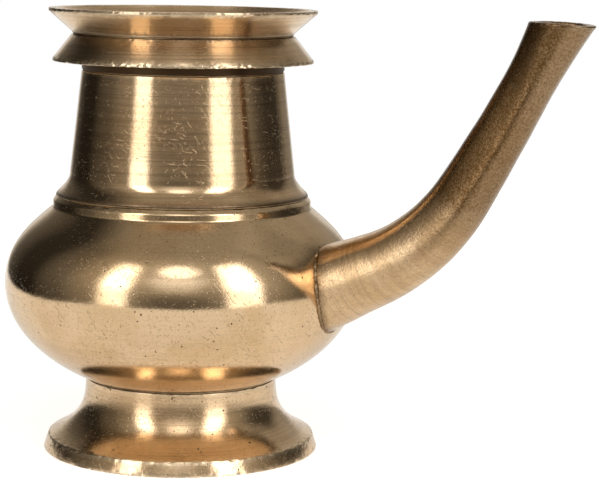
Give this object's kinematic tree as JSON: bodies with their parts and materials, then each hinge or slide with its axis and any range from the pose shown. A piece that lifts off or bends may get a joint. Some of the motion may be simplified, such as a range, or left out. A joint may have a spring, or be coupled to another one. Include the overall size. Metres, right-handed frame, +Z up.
{
  "type": "spouted water pot",
  "caption": "Brass water pot with a pedestal foot, round belly, tall neck, flared mouth over a drip flange, and a long curved pouring spout.",
  "frame": {"origin": "middle of the footprint's bounding box, on the plane that the foot stands on", "axes": "+X along the spout's reach, +Z up along the turned body's axis, which stands at X = -39.6 mm; the spout lies in the plane Y = 0"},
  "size_m": [0.1924, 0.1132, 0.14],
  "materials": {
    "turned_brass": "lathe-turned brass, unlacquered, with fine turning lines and handling scratches",
    "polished_brass": "turned and polished brass with scratches, dings and small casting pits",
    "cast_brass": "hand-filed cast brass, duller, with pits and file marks",
    "braze_filler": "dark rough brazing filler"
  },
  "bodies": {
    "root": {"mouth_cone": "turned_brass", "waist_braze": "braze_filler", "drip_flange": "turned_brass", "neck_braze": "braze_filler", "neck": "polished_brass", "shoulder_braze": "braze_filler", "belly": "polished_brass", "foot_braze": "braze_filler", "foot": "turned_brass", "spout": "cast_brass", "spout_braze": "braze_filler"}
  },
  "joints": []
}
